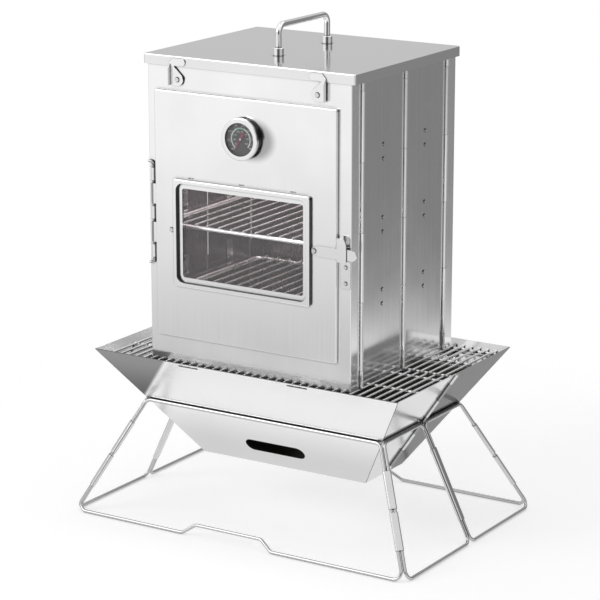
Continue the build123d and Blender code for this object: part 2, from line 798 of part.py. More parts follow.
def ferrule(y):
    """Collar round a handle foot."""
    collar = rod((0, y, lid_top), (0, y, lid_top + ferrule_height), ferrule_diameter)
    collar = chamfer(collar.edges().sort_by(Axis.Z)[-1], ferrule_chamfer)
    bore = handle_rod + 2 * screw_play
    return collar - rod((0, y, lid_top - cut_before), (0, y, lid_top + 2 * ferrule_height), bore)


def handle_bolt(y):
    """Pan-head screw from under the lid into the handle."""
    piece = rod((0, y, lid_low - screw_head_height), (0, y, lid_low), screw_head)
    return piece + rod((0, y, lid_low), (0, y, lid_top + screw_reach), handle_screw)


# ---- lid clips ---------------------------------------------------------------------------------
def clip():
    """Right lid clip: a turning plate with a hook over the lid's rim and a finger flange."""
    outline = make_face(
        Polyline(
            (clip_flange_x, -clip_flange_low),
            (clip_flange_x, clip_hook_high - clip_chamfer),
            (clip_flange_x - clip_chamfer, clip_hook_high),
            (-clip_hook_reach, clip_hook_high),
            (-clip_hook_reach, clip_hook_low),
            (clip_neck, clip_hook_low),
            (clip_neck, clip_hook_low - clip_neck_gap),
            (-clip_lean_x, clip_lean_z),
            (0, -clip_foot),
            close=True,
        )
    )
    outline += Circle(clip_foot)
    hook_round = (clip_hook_high - clip_hook_low) / 2
    outline += Pos(-clip_hook_reach, clip_hook_low + hook_round) * Circle(hook_round)
    outline -= Circle(rivet_shank / 2 + rivet_play)
    plate = extrude(front_plane(clip_x, clip_z, clip_y) * outline, clip_sheet)
    side = Plane(origin=(clip_x + clip_flange_x, clip_y, clip_z), x_dir=(0, -1, 0), z_dir=(-1, 0, 0))
    flange = make_face(
        Polyline(
            (0, -clip_flange_low),
            (clip_flange, -clip_flange_low),
            (clip_flange, clip_flange_high),
            (0, clip_hook_high - clip_chamfer),
            close=True,
        )
    )
    return plate + extrude(side * flange, clip_sheet)


def clip_rivet():
    """Shouldered rivet that holds a clip clear of the lid's rim."""
    shoulder = clip_y + rivet_play
    head = clip_y - clip_sheet - rivet_play
    steps = [
        (front_y + sheet + rivet_tail, front_y + sheet, clip_shoulder + rivet_spread),
        (front_y + sheet, front_y, clip_shoulder),
        (front_y, shoulder, rivet_head),
        (shoulder, head, rivet_shank),
    ]
    made = extrude(front_plane(clip_x, clip_z, head) * Circle(rivet_head / 2), rivet_rise, taper=head_taper)
    for back, front, size in steps:
        made += disc(clip_x, clip_z, size, front, back - front)
    return made


# ---- door --------------------------------------------------------------------------------------
def door_panel():
    """Sheet door with turned-back edges, its openings and its two hinge knuckles."""
    width = door_right - door_left
    height = door_top - door_bottom
    depth = door_back - door_y
    door = round_plate(door_x, door_z, width, height, door_corner, door_y, depth)
    door = fillet(door.faces().sort_by(Axis.Y)[0].edges(), door_edge)
    less = 2 * sheet
    corner = door_corner - sheet
    door -= round_plate(door_x, door_z, width - less, height - less, corner, door_y + sheet, depth)
    view_size = (view_width, view_height, view_corner)
    door -= round_plate(window_x, window_z, *view_size, door_y - cut_before, cut_through)
    for x in slot_places:
        cut = front_plane(x, slot_z, door_y + 2) * SlotOverall(tab_slot_length, tab_slot_width)
        door -= extrude(cut, cut_through)
    for x in window_rivets:
        door -= disc(x, window_rivet_z, rivet_shank + 2 * rivet_play, door_y - cut_before, cut_through)
    door -= disc(dial_x, dial_z, stem_diameter + 2 * rivet_play, door_y - cut_before, cut_through)
    arm = door_left + sheet / 2 - hinge_rod_x
    arm_y = hinge_rod_y - lug_radius + lug_gap + lug_wall / 2
    tube = Pos(hinge_rod_x, hinge_rod_y) * Circle(lug_radius)
    tube += Pos(hinge_rod_x + arm / 2, arm_y) * Rectangle(arm, lug_wall)
    tube -= Pos(hinge_rod_x, hinge_rod_y) * Circle(hinge_rod / 2 + lug_play)
    for z in knuckle_heights:
        door += Pos(0, 0, z - door_knuckle / 2) * extrude(tube, door_knuckle)
    return door


def hinge_lug(z):
    """Lug on the front panel: a strap rolled round the hinge rod."""
    foot = hinge_rod_x + side_x - lug_inset
    tube = Pos(hinge_rod_x, hinge_rod_y) * Circle(lug_radius)
    tube += Pos(hinge_rod_x - foot / 2, front_y - lug_wall / 2) * Rectangle(foot, lug_wall)
    tube -= Pos(hinge_rod_x, hinge_rod_y) * Circle(hinge_rod / 2 + lug_play)
    return Pos(0, 0, z - lug_length / 2) * extrude(tube, lug_length)


def door_rod():
    """Hinge rod with both ends bent to the left."""
    low = door_z - hinge_rod_length / 2
    high = door_z + hinge_rod_length / 2
    out = hinge_rod_x - hinge_rod_tail
    path = [(out, low), (hinge_rod_x, low), (hinge_rod_x, high), (out, high)]
    return bent_wire([(x, hinge_rod_y, z) for x, z in path], hinge_rod_bend, hinge_rod)


def frame_opening(y_front, deep):
    """What the frame and its gasket leave open."""
    return round_plate(window_x, window_z, open_width, open_height, frame_open_corner, y_front, deep)


def window_frame():
    """Raised frame: a shallow box with a large rounded opening."""
    front = door_y - frame_proud
    frame = round_plate(window_x, window_z, frame_width, frame_height, frame_corner, front, frame_proud)
    frame = fillet(frame.faces().sort_by(Axis.Y)[0].edges(), frame_edge)
    width = frame_width - 2 * frame_sheet
    height = frame_height - 2 * frame_sheet
    corner = frame_corner - frame_sheet
    frame -= round_plate(window_x, window_z, width, height, corner, front + frame_sheet, frame_proud)
    return frame - frame_opening(front - cut_before, cut_through)


def window_gasket():
    """Dark lining between the frame and the door sheet."""
    less = 2 * (frame_sheet + gasket_play)
    thick = frame_proud - frame_sheet
    width = frame_width - less
    height = frame_height - less
    ring = round_plate(window_x, window_z, width, height, gasket_corner, door_y - thick, thick)
    return ring - frame_opening(door_y - frame_proud, 2 * frame_proud)


def window_glass():
    """Pane behind the door sheet."""
    width = view_width + 2 * glass_lap
    height = view_height + 2 * glass_lap
    return round_plate(window_x, window_z, width, height, glass_corner, door_y + sheet, glass_thick)


def glass_clamp():
    """Tray behind the glass, with an ear at each rivet and a lug behind each slot."""
    back = door_y + sheet
    depth = glass_thick + clamp_sheet

    def plate(grow, corner, y, thick):
        """Plate as large as the view and grow more on every side."""
        width = view_width + 2 * grow
        return round_plate(window_x, window_z, width, view_height + 2 * grow, corner, y, thick)

    rim = glass_lap + glass_play
    edge = rim + clamp_sheet / 2
    tray = plate(rim + clamp_sheet, glass_corner + clamp_sheet, back, depth)
    tray -= plate(rim, glass_corner, back - cut_before, glass_thick + cut_before)
    tray -= plate(glass_lap - clamp_lap, view_corner, back, 2 * depth)
    for x in window_rivets:
        side = 1 if x > window_x else -1
        span = sorted((window_x + side * (view_width / 2 + edge), x + side * clamp_ear_reach))
        height = (window_rivet_z - clamp_ear / 2, window_rivet_z + clamp_ear / 2)
        tray += block(span, (back, back + clamp_sheet), height)
        tray -= disc(x, window_rivet_z, rivet_shank + 2 * rivet_play, back - cut_before, cut_through)
    low = window_z + view_height / 2 + edge
    for x in slot_places:
        width = (x - clamp_lug / 2, x + clamp_lug / 2)
        tray += block(width, (back, back + clamp_sheet), (low, slot_z + 2 * tab_slot_width))
    return tray


def through_rivet(x, front):
    """Rivet through the door sheet and the clamp, its head face at front."""
    tail = door_y + sheet + clamp_sheet
    z = window_rivet_z
    piece = disc(x, z, rivet_shank, front, tail + rivet_tail - front)
    piece += extrude(front_plane(x, z, front) * Circle(rivet_head / 2), rivet_rise, taper=head_taper)
    return piece + disc(x, z, rivet_shank + rivet_spread, tail, rivet_tail)


# ---- latch -------------------------------------------------------------------------------------
def latch_lever():
    """Strap from the pivot past the door's edge, with a thumb plate in front of it."""
    half = strap_height / 2
    end = strap_end - latch_x - half
    upper = [(0, strap_root), (strap_flare, half), (end, half)]
    outline = make_face(Polyline(*upper, *[(x, -z) for x, z in reversed(upper)], close=True))
    outline += Circle(strap_root)
    outline += Pos(end, 0) * Circle(half)
    outline -= Circle(rivet_shank / 2 + rivet_play)
    lever = extrude(front_plane(latch_x, latch_z, strap_y + strap_thick) * outline, strap_thick)
    left = side_x - thumb_plate_inset
    right = left + thumb_plate_width
    low = latch_z - thumb_plate_low
    plate = block((left, right), (plate_y - strap_thick, plate_y), (low, latch_z + thumb_plate_high))
    outer = plate.edges().filter_by(Axis.Y).sort_by(Axis.X)[-2:]
    lever += fillet(outer.sort_by(Axis.Z)[-1], thumb_plate_round)
    for z in (latch_z - half, latch_z + half - strap_thick):
        lever += block((left + strap_thick, right - strap_thick), (plate_y, strap_y), (z, z + strap_thick))
    return lever


def latch_keeper():
    """Plate on the front panel with a shelf under the strap."""
    span = (keeper_x - keeper_width / 2, keeper_x + keeper_width / 2)
    top = latch_z - strap_height / 2 - keeper_play
    plate = block(span, (front_y - keeper_sheet, front_y), (keeper_rivets[-1] - keeper_tail, top))
    plate += block(span, (front_y - keeper_reach, front_y), (top - keeper_sheet, top))
    for z in keeper_rivets:
        plate -= disc(keeper_x, z, wall_hole, front_y - 3, 4)
    return plate


def keeper_rivet(z):
    """Rivet through the keeper and the front panel."""
    front = front_y - keeper_sheet
    piece = disc(keeper_x, z, wall_rivet_shank, front, keeper_sheet + sheet + rivet_tail)
    piece += extrude(front_plane(keeper_x, z, front) * Circle(wall_rivet / 2), rivet_rise, taper=head_taper)
    return piece + disc(keeper_x, z, wall_rivet_shank + rivet_spread, front_y + sheet, rivet_tail)


opening_width = door_right - door_left - 2 * opening_lap
opening_height = door_top - door_bottom - 2 * opening_lap
opening_size = (opening_width, opening_height, opening_corner)
front_panel -= round_plate(door_x, door_z, *opening_size, front_y - cut_before, cut_through)
for z in keeper_rivets:
    front_panel -= disc(keeper_x, z, wall_hole, front_y - cut_before, cut_through)
for x in (-clip_x, clip_x):
    front_panel -= disc(x, clip_z, clip_shoulder + 2 * rivet_play, front_y - cut_before, cut_through)


# ---- thermometer -------------------------------------------------------------------------------
def dial_cup():
    """Round case, open to the front."""
    cup = disc(dial_x, dial_z, dial_case, case_front, dial_depth)
    cup -= disc(dial_x, dial_z, dial_case - 2 * dial_wall, case_front - cut_before, dial_depth)
    stem_hole = stem_diameter + 2 * rivet_play
    return cup - disc(dial_x, dial_z, stem_hole, door_y - 2 * cut_before, cut_through)


def dial_bezel():
    """Bright ring rolled over the front of the case."""
    ring = disc(dial_x, dial_z, dial_ring, ring_front, dial_ring_depth)
    ring = fillet(ring.faces().sort_by(Axis.Y)[0].edges(), dial_ring_edge)
    ring -= disc(dial_x, dial_z, dial_case + 2 * dial_ring_play, case_front, dial_ring_depth)
    return ring - disc(dial_x, dial_z, dial_view, ring_front - cut_before, dial_ring_depth)


def dial_face():
    """Printed plate in the case."""
    plate = disc(dial_x, dial_z, dial_room, plate_front, dial_plate_thick)
    pin_hole = needle_pin + 2 * needle_pin_play
    return plate - disc(dial_x, dial_z, pin_hole, plate_front - cut_before, cut_through)


def needle_blade():
    """Pointer with a thin tip and a broad tail, on its spindle."""
    upper = [(-needle_tail, needle_width / 2), (0, needle_root / 2), (needle_tip, needle_end / 2)]
    outline = make_face(Polyline(*upper, *[(x, -z) for x, z in reversed(upper)], close=True))
    outline += Circle(needle_hub / 2)
    back = needle_front + needle_thick
    turned = front_plane(dial_x, dial_z, back) * Rot(0, 0, needle_angle) * outline
    blade = extrude(turned, needle_thick)
    blade += disc(dial_x, dial_z, needle_cap, needle_front - needle_cap_proud, needle_cap_proud)
    spindle = door_y - dial_wall - needle_pin_short - needle_front
    return blade + disc(dial_x, dial_z, needle_pin, needle_front, spindle)


def stem_tube():
    """Probe from the floor of the case into the oven, bored for the spindle."""
    tube = disc(dial_x, dial_z, stem_diameter, door_y - dial_wall, stem_length + dial_wall)
    bore = needle_pin + 2 * needle_pin_play
    return tube - disc(dial_x, dial_z, bore, door_y - 2 * dial_wall, 3 * dial_wall)


def stem_nut():
    """Hexagon nut on the stem, behind the door sheet."""
    face = front_plane(dial_x, dial_z, door_y + sheet + nut_height)
    ring = RegularPolygon(nut_width / 2, 6, major_radius=False) - Circle(stem_diameter / 2 + nut_play)
    return extrude(face * ring, nut_height)


save("front_panel", front_panel)
save("back_panel", back_panel)
save("wall_leaf_right_front", right_front_leaf)
save("wall_leaf_right_rear", right_rear_leaf)
save("wall_leaf_left_front", mirror_x(right_front_leaf))
save("wall_leaf_left_rear", mirror_x(right_rear_leaf))
save("wall_hinge_pins", group(wall_pins + [mirror_x(p) for p in wall_pins]))
save("shelf_brackets", group(right_brackets + [mirror_x(b) for b in right_brackets]))
save("bracket_rivets", group(right_rivets + [mirror_x(p) for p in right_rivets]))
save("rack_upper", rack(shelf_levels[1]))
save("rack_lower", rack(shelf_levels[0]))
save("lid", lid_tray())
save("lid_handle", lid_handle())
save("handle_ferrules", group(ferrule(y) for y in handle_feet))
save("handle_screws", group(handle_bolt(y) for y in handle_feet))
save("lid_clip_right", clip())
save("lid_clip_left", mirror_x(clip()))
save("lid_clip_rivets", group([clip_rivet(), mirror_x(clip_rivet())]))
save("door_panel", door_panel())
save("door_hinge_lugs", group(hinge_lug(z) for z in lug_heights))
save("door_hinge_rod", door_rod())
save("window_frame", window_frame())
save("window_gasket", window_gasket())
save("window_glass", window_glass())
save("window_clamp", glass_clamp())
save("window_rivet", through_rivet(window_rivets[0], door_y))
save("latch_pivot", through_rivet(latch_x, strap_y - rivet_play))
save("latch_lever", latch_lever())
save("latch_keeper", latch_keeper())
save("latch_keeper_rivets", group(keeper_rivet(z) for z in keeper_rivets))
save("thermometer_case", dial_cup())
save("thermometer_bezel", dial_bezel())
save("thermometer_dial", dial_face())
save("thermometer_needle", needle_blade())
save("thermometer_lens", disc(dial_x, dial_z, dial_room, case_front, lens_thick))
save("thermometer_stem", stem_tube())
save("thermometer_nut", stem_nut())
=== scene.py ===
import json
import math

import bmesh
import bpy
from mathutils import Matrix, Vector

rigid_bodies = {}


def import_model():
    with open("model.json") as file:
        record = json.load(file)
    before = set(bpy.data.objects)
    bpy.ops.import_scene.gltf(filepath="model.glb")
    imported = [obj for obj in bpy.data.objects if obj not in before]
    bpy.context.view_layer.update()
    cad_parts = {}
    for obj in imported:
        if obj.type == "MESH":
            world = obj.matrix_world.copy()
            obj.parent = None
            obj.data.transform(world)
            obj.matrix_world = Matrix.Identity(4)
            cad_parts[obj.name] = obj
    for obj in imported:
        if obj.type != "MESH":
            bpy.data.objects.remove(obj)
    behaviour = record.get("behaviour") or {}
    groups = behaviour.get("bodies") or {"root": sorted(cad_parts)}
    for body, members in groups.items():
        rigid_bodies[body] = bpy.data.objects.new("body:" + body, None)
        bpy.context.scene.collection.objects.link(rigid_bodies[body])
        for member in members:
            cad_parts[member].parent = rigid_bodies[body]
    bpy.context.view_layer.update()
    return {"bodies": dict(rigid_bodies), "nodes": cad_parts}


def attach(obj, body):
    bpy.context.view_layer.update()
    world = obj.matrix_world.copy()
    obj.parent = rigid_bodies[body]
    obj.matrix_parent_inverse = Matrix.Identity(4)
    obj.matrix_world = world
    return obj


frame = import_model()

NODES = frame["nodes"]
BODIES = frame["bodies"]

# ---- camera: the photograph's viewing angle ----------------------------------------------------
VIEW_AZIMUTH = math.radians(32.14)
VIEW_ELEVATION = math.radians(14.77)
VIEW_DISTANCE = 3.269
VIEW_TARGET = Vector((-0.003, -0.0028, 0.287))
LENS = 150.8


def add_camera():
    """Camera on a sphere round the target, square to it."""
    back = Vector((
        math.sin(VIEW_AZIMUTH) * math.cos(VIEW_ELEVATION),
        -math.cos(VIEW_AZIMUTH) * math.cos(VIEW_ELEVATION),
        math.sin(VIEW_ELEVATION),
    ))
    data = bpy.data.cameras.new("camera")
    data.lens = LENS
    data.sensor_width = 36.0
    data.clip_start = 0.05
    data.clip_end = 60.0
    camera = bpy.data.objects.new("camera", data)
    bpy.context.scene.collection.objects.link(camera)
    camera.location = VIEW_TARGET + back * VIEW_DISTANCE
    camera.rotation_mode = "QUATERNION"
    camera.rotation_quaternion = (-back).to_track_quat("-Z", "Y")
    bpy.context.scene.camera = camera


# ---- node helpers ------------------------------------------------------------------------------
class Graph:
    """Short way to write a node tree."""

    def __init__(self, tree):
        self.tree = tree
        self.tree.nodes.clear()

    def node(self, kind, inputs=None, **settings):
        made = self.tree.nodes.new(kind)
        for key, value in settings.items():
            setattr(made, key, value)
        for key, value in (inputs or {}).items():
            self.put(made.inputs[key], value)
        return made

    def put(self, socket, value):
        if isinstance(value, bpy.types.NodeSocket):
            self.tree.links.new(value, socket)
        else:
            socket.default_value = value

    def math(self, operation, first, second=0.5, third=0.5):
        inputs = {0: first, 1: second, 2: third}
        return self.node("ShaderNodeMath", inputs, operation=operation).outputs[0]

    def mix(self, factor, first, second):
        made = self.node("ShaderNodeMix", data_type="RGBA")
        self.put(made.inputs["Factor"], factor)
        self.put(made.inputs["A"], first)
        self.put(made.inputs["B"], second)
        return made.outputs["Result"]

    def ramp(self, value, low, high, low_to=0.0, high_to=1.0):
        made = self.node("ShaderNodeMapRange", interpolation_type="SMOOTHSTEP")
        made.inputs["Value"].default_value = 0.0
        self.put(made.inputs["Value"], value)
        made.inputs["From Min"].default_value = low
        made.inputs["From Max"].default_value = high
        made.inputs["To Min"].default_value = low_to
        made.inputs["To Max"].default_value = high_to
        return made.outputs["Result"]


# ---- materials ---------------------------------------------------------------------------------
def new_material(name):
    made = bpy.data.materials.new(name)
    made.use_nodes = True
    return made, Graph(made.node_tree)


def grey(value, warmth=0.0):
    """Neutral colour, a little warm or cold."""
    return (value * (1 + warmth), value, value * (1 - warmth), 1.0)


def own_coordinates(graph):
    """Place on the piece, in metres: it moves with the piece."""
    return graph.node("ShaderNodeTexCoord").outputs["Object"]


def noise(graph, where, scale, detail, roughness=0.5):
    """Values round 0.5, spread over the piece."""
    settings = {"Vector": where, "Scale": scale, "Detail": detail, "Roughness": roughness}
    return graph.node("ShaderNodeTexNoise", settings).outputs["Fac"]


def grain(graph, along, fine, coarse):
    """Noise drawn out along one axis: brushed metal in the piece's own coordinates."""
    stretch = [coarse if axis == along else fine for axis in "XYZ"]
    moved = graph.node("ShaderNodeMapping", {"Vector": own_coordinates(graph), "Scale": stretch})
    return noise(graph, moved.outputs["Vector"], 1.0, 4.0, 0.6)


def shaded_creases(graph, shade, distance, low):
    """Painted shade: darker colour close to other metal, standing in for contact shadow and the
    neighbour's dark reflection.
    """
    open_part = graph.node("ShaderNodeAmbientOcclusion", {"Distance": distance}, samples=6).outputs["AO"]
    return graph.mix(graph.ramp(open_part, 0.35, 0.95, low, 1.0), grey(0.02), shade)


def steel(name, colour, roughness, along, streak=0.05, crease=(0.006, 0.30), edge=1.0, extra=None):
    """Brushed stainless sheet. crease sets the painted shade close to other metal. extra changes the
    colour and roughness at certain places.
    """
    made, graph = new_material(name)
    fibre = grain(graph, along, 1800.0, 6.0)
    band = grain(graph, along, 260.0, 1.2)
    cloud = noise(graph, own_coordinates(graph), 9.0, 3.0)
    shade = graph.mix(fibre, grey(colour * 0.95), grey(colour * 1.05))
    shade = graph.mix(graph.ramp(band, 0.35, 0.65, 0.0, streak * 4), shade, grey(colour * 0.80))
    shade = graph.mix(graph.ramp(cloud, 0.3, 0.7, 0.0, 0.3), shade, grey(colour * 0.94))
    rough = graph.ramp(fibre, 0.2, 0.8, roughness * 0.8, roughness * 1.2)
    rough = graph.math("ADD", rough, graph.ramp(cloud, 0.3, 0.7, -0.02, 0.03))
    if extra is not None:
        shade, rough = extra(graph, shade, rough)
    # painted shade close to other metal
    shade = shaded_creases(graph, shade, *crease)
    lift = graph.node("ShaderNodeBump", {"Height": fibre, "Strength": 0.02, "Distance": 0.0002})
    shader = graph.node("ShaderNodeBsdfPrincipled", {
        "Base Color": shade,
        "Metallic": 1.0,
        "Roughness": rough,
        "Specular Tint": grey(edge),
        "Normal": lift.outputs["Normal"],
    })
    graph.node("ShaderNodeOutputMaterial", {"Surface": shader.outputs["BSDF"]})
    return made


# ---- marks at certain places of the metal, in metres on the piece ------------------------------
INNER_X = 0.1496                            # the oven's outer skin lies beyond these two
INNER_Y = 0.1286
INNER_COLOUR = (0.27, 0.225, 0.235, 1.0)
DEEP_SHADE_FACING = (0.25, 0.40)                  # how far up a face looks where the painted shade inside the hopper begins and is full
LONG_DEEP_SHADE_TOP = 0.200                       # upper edge of the painted shade inside the hopper
END_DEEP_SHADE_TOP = 0.190
FRONT_DEEP_SHADE_TOP = 0.216
FRONT_LOW_SHADE = (0.17, 0.09)                   # heights where the front plate's painted shade low down begins and is full
TIP_REFLECTION_SLOPE = 0.952                        # edge of the painted dark reflection at the hopper's left tip: X - slope * Z = line
TIP_REFLECTION_LINE = -0.3286
TIP_REFLECTION_HEIGHTS = (0.155, 0.220)
BARREL_X = -0.1404                          # the door's hinge barrels lie left of this
HALO_X = 0.0100                             # middle of the painted reflection of the thermometer's side
HALO_Z = 0.5215
HALO_FADE = (0.039, 0.023)                  # its radius, where it begins and is full
HALO_SQUEEZE = 1.25                         # how much wider it is than high
FOOT_X = 0.156                              # half width of the oven's foot
FOOT_Y = 0.130                              # half depth


def axes(graph, vector):
    return graph.node("ShaderNodeSeparateXYZ", {"Vector": vector}).outputs


def object_place(graph):
    return axes(graph, own_coordinates(graph))


def object_facing(graph):
    return axes(graph, graph.node("ShaderNodeTexCoord").outputs["Normal"])


def size_of(graph, value):
    return graph.math("ABSOLUTE", value)


def rougher(graph, rough, where, amount):
    return graph.math("ADD", rough, graph.math("MULTIPLY", where, amount))


def inside_dulled(graph, shade, rough):
    """Faces inside the oven's outer skin are heat-tinted."""
    place = object_place(graph)
    within_x = graph.math("LESS_THAN", size_of(graph, place["X"]), INNER_X)
    within_y = graph.math("LESS_THAN", size_of(graph, place["Y"]), INNER_Y)
    within = graph.math("MULTIPLY", within_x, within_y)
    shade = graph.mix(within, shade, INNER_COLOUR)
    return shade, rougher(graph, rough, within, 0.12)


def sooted(graph, shade, rough, top, fade=0.012):
    """Painted shade: the upward faces below a height are painted nearly black and made rougher, for the
    hopper's shaded inside.
    """
    upward = graph.ramp(object_facing(graph)["Z"], *DEEP_SHADE_FACING)
    deep = graph.ramp(object_place(graph)["Z"], top, top - fade)
    deep_shade = graph.math("MULTIPLY", upward, deep)
    shade = graph.mix(deep_shade, shade, grey(0.035, 0.06))
    return shade, rougher(graph, rough, deep_shade, 0.35)


def long_plate_marks(graph, shade, rough):
    """Painted shade: black inside, except a band under the rim."""
    return sooted(graph, shade, rough, LONG_DEEP_SHADE_TOP)


def end_marks(graph, shade, rough):
    """The same in the hopper's ends."""
    return sooted(graph, shade, rough, END_DEEP_SHADE_TOP)


def front_plate_marks(graph, shade, rough):
    """Painted shade: darker below and black inside up to the rim; a painted dark reflection at the left
    tip.
    """
    place = object_place(graph)
    # painted shade low down, where the plate mirrors the shaded floor near the stand
    shade = graph.mix(graph.ramp(place["Z"], *FRONT_LOW_SHADE, 0.0, 0.8), shade, grey(0.62))
    # painted dark reflection at the left tip
    across = graph.math("SUBTRACT", place["X"], graph.math("MULTIPLY", place["Z"], TIP_REFLECTION_SLOPE))
    tip_reflection = graph.ramp(across, TIP_REFLECTION_LINE + 0.004, TIP_REFLECTION_LINE - 0.004)
    tone = graph.mix(graph.ramp(place["Z"], *TIP_REFLECTION_HEIGHTS), grey(0.11), grey(0.26))
    shade = graph.mix(tip_reflection, shade, tone)
    # painted shade on the plate's inner face
    upward = graph.ramp(object_facing(graph)["Z"], *DEEP_SHADE_FACING)
    shade = graph.mix(upward, shade, grey(0.16))
    return sooted(graph, shade, rough, FRONT_DEEP_SHADE_TOP, 0.006)


def door_marks(graph, shade, rough):
    """Painted shade on the rolled hinge barrels, and a painted dark reflection of the thermometer's side
    on the sheet beside it.
    """
    place = object_place(graph)
    # painted shade on the hinge barrels
    barrel = graph.math("LESS_THAN", place["X"], BARREL_X)
    shade = graph.mix(barrel, shade, grey(0.34))
    # painted dark reflection of the thermometer's side
    across = graph.math("SUBTRACT", place["X"], HALO_X)
    up = graph.math("MULTIPLY", graph.math("SUBTRACT", place["Z"], HALO_Z), HALO_SQUEEZE)
    squares = graph.math("ADD", graph.math("MULTIPLY", across, across), graph.math("MULTIPLY", up, up))
    away = graph.math("SQRT", squares)
    outer = graph.math("LESS_THAN", object_facing(graph)["Y"], -0.5)
    thermometer_reflection = graph.math("MULTIPLY", outer, graph.ramp(away, *HALO_FADE, 0.0, 0.66))
    shade = graph.mix(thermometer_reflection, shade, grey(0.18))
    return inside_dulled(graph, shade, rough)


def frame_marks(graph, shade, rough):
    """Painted dark reflection: the edge on the latch's side and the upper edge are darker than the face.
    """
    facing = object_facing(graph)
    # painted dark reflection on the faces turned to the latch's side and upward
    shade = graph.mix(graph.ramp(facing["X"], 0.5, 0.9), shade, grey(0.08))
    shade = graph.mix(graph.ramp(facing["Z"], 0.5, 0.9), shade, grey(0.50))
    return inside_dulled(graph, shade, rough)


def dark_flanks(graph, shade, rough):
    """Painted dark reflection on a rivet's rounded flanks, which mirror the sheet beside them."""
    facing = object_facing(graph)
    flat = graph.math("MAXIMUM", size_of(graph, facing["X"]), size_of(graph, facing["Y"]))
    return graph.mix(graph.ramp(flat, 0.94, 0.76), shade, grey(0.03)), rough


def grate_marks(graph, shade, rough):
    """Painted shade on the bars' ends in front of the oven's foot and behind it, which are darker and
    rougher.
    """
    place = object_place(graph)
    beside = graph.math("LESS_THAN", size_of(graph, place["X"]), FOOT_X)
    ahead = graph.ramp(size_of(graph, place["Y"]), FOOT_Y, FOOT_Y + 0.002)
    foot_shade = graph.math("MULTIPLY", beside, ahead)
    # painted shade where the oven's foot meets the bars
    return graph.mix(foot_shade, shade, grey(0.40)), rougher(graph, rough, foot_shade, 0.1)


def bright_wire(name, colour, roughness, crease=(0.0025, 0.15), extra=None):
    """Drawn and polished wire. crease sets the painted shade close to other metal. extra changes the
    colour and roughness at certain places.
    """
    made, graph = new_material(name)
    where = own_coordinates(graph)
    spots = noise(graph, where, 60.0, 3.0)
    scratch = noise(graph, where, 900.0, 2.0)
    shade = graph.mix(spots, grey(colour * 0.93), grey(colour * 1.04))
    rough = graph.ramp(spots, 0.3, 0.7, roughness * 0.8, roughness * 1.3)
    if extra is not None:
        shade, rough = extra(graph, shade, rough)
    lift = graph.node("ShaderNodeBump", {"Height": scratch, "Strength": 0.03, "Distance": 0.0001})
    shader = graph.node("ShaderNodeBsdfPrincipled", {
        # painted shade close to other metal
        "Base Color": shaded_creases(graph, shade, *crease),
        "Metallic": 1.0,
        "Roughness": rough,
        "Normal": lift.outputs["Normal"],
    })
    graph.node("ShaderNodeOutputMaterial", {"Surface": shader.outputs["BSDF"]})
    return made


def rubber(name):
    """Matt black rubber with fine pores."""
    made, graph = new_material(name)
    pores = noise(graph, own_coordinates(graph), 1500.0, 3.0)
    shade = graph.mix(pores, grey(0.012), grey(0.035))
    lift = graph.node("ShaderNodeBump", {"Height": pores, "Strength": 0.2, "Distance": 0.0002})
    shader = graph.node("ShaderNodeBsdfPrincipled", {
        "Base Color": shade,
        "Roughness": graph.ramp(pores, 0.3, 0.7, 0.5, 0.7),
        "Normal": lift.outputs["Normal"],
    })
    graph.node("ShaderNodeOutputMaterial", {"Surface": shader.outputs["BSDF"]})
    return made


def pane(name, alpha):
    """Clear glass with faint smears."""
    made, graph = new_material(name)
    smear = noise(graph, own_coordinates(graph), 14.0, 4.0)
    shader = graph.node("ShaderNodeBsdfPrincipled", {
        "Base Color": (0.90, 0.87, 0.88, 1.0),
        "Roughness": graph.ramp(smear, 0.3, 0.7, 0.02, 0.08),
        "Alpha": alpha,
        "IOR": 1.5,
    })
    graph.node("ShaderNodeOutputMaterial", {"Surface": shader.outputs["BSDF"]})
    return made


def paint(name, colour, roughness):
    """Slightly mottled paint."""
    made, graph = new_material(name)
    mottle = noise(graph, own_coordinates(graph), 500.0, 3.0)
    dark = tuple(c * 0.85 for c in colour[:3]) + (1.0,)
    lift = graph.node("ShaderNodeBump", {"Height": mottle, "Strength": 0.05, "Distance": 0.0001})
    shader = graph.node("ShaderNodeBsdfPrincipled", {
        "Base Color": graph.mix(mottle, dark, colour),
        "Roughness": graph.ramp(mottle, 0.3, 0.7, roughness * 0.85, roughness * 1.15),
        "Normal": lift.outputs["Normal"],
    })
    graph.node("ShaderNodeOutputMaterial", {"Surface": shader.outputs["BSDF"]})
    return made


# ---- floor, world and lamps --------------------------------------------------------------------
FLOOR_RADIUS = 1.0
FLOOR_Z = -0.0004
FLOOR_COLOUR = 0.62
FLOOR_FADE = (0.55, 0.85)       # distance where the floor begins to fade, and where it is gone
FLOOR_FILL = 0.53               # what brings the unshaded floor up to white


def shows_background(graph):
    """1 for camera, glossy and transmission rays, 0 for the light that the object gets."""
    path = graph.node("ShaderNodeLightPath").outputs
    seen = graph.math("MAXIMUM", path["Is Camera Ray"], path["Is Glossy Ray"])
    return graph.math("MAXIMUM", seen, path["Is Transmission Ray"])


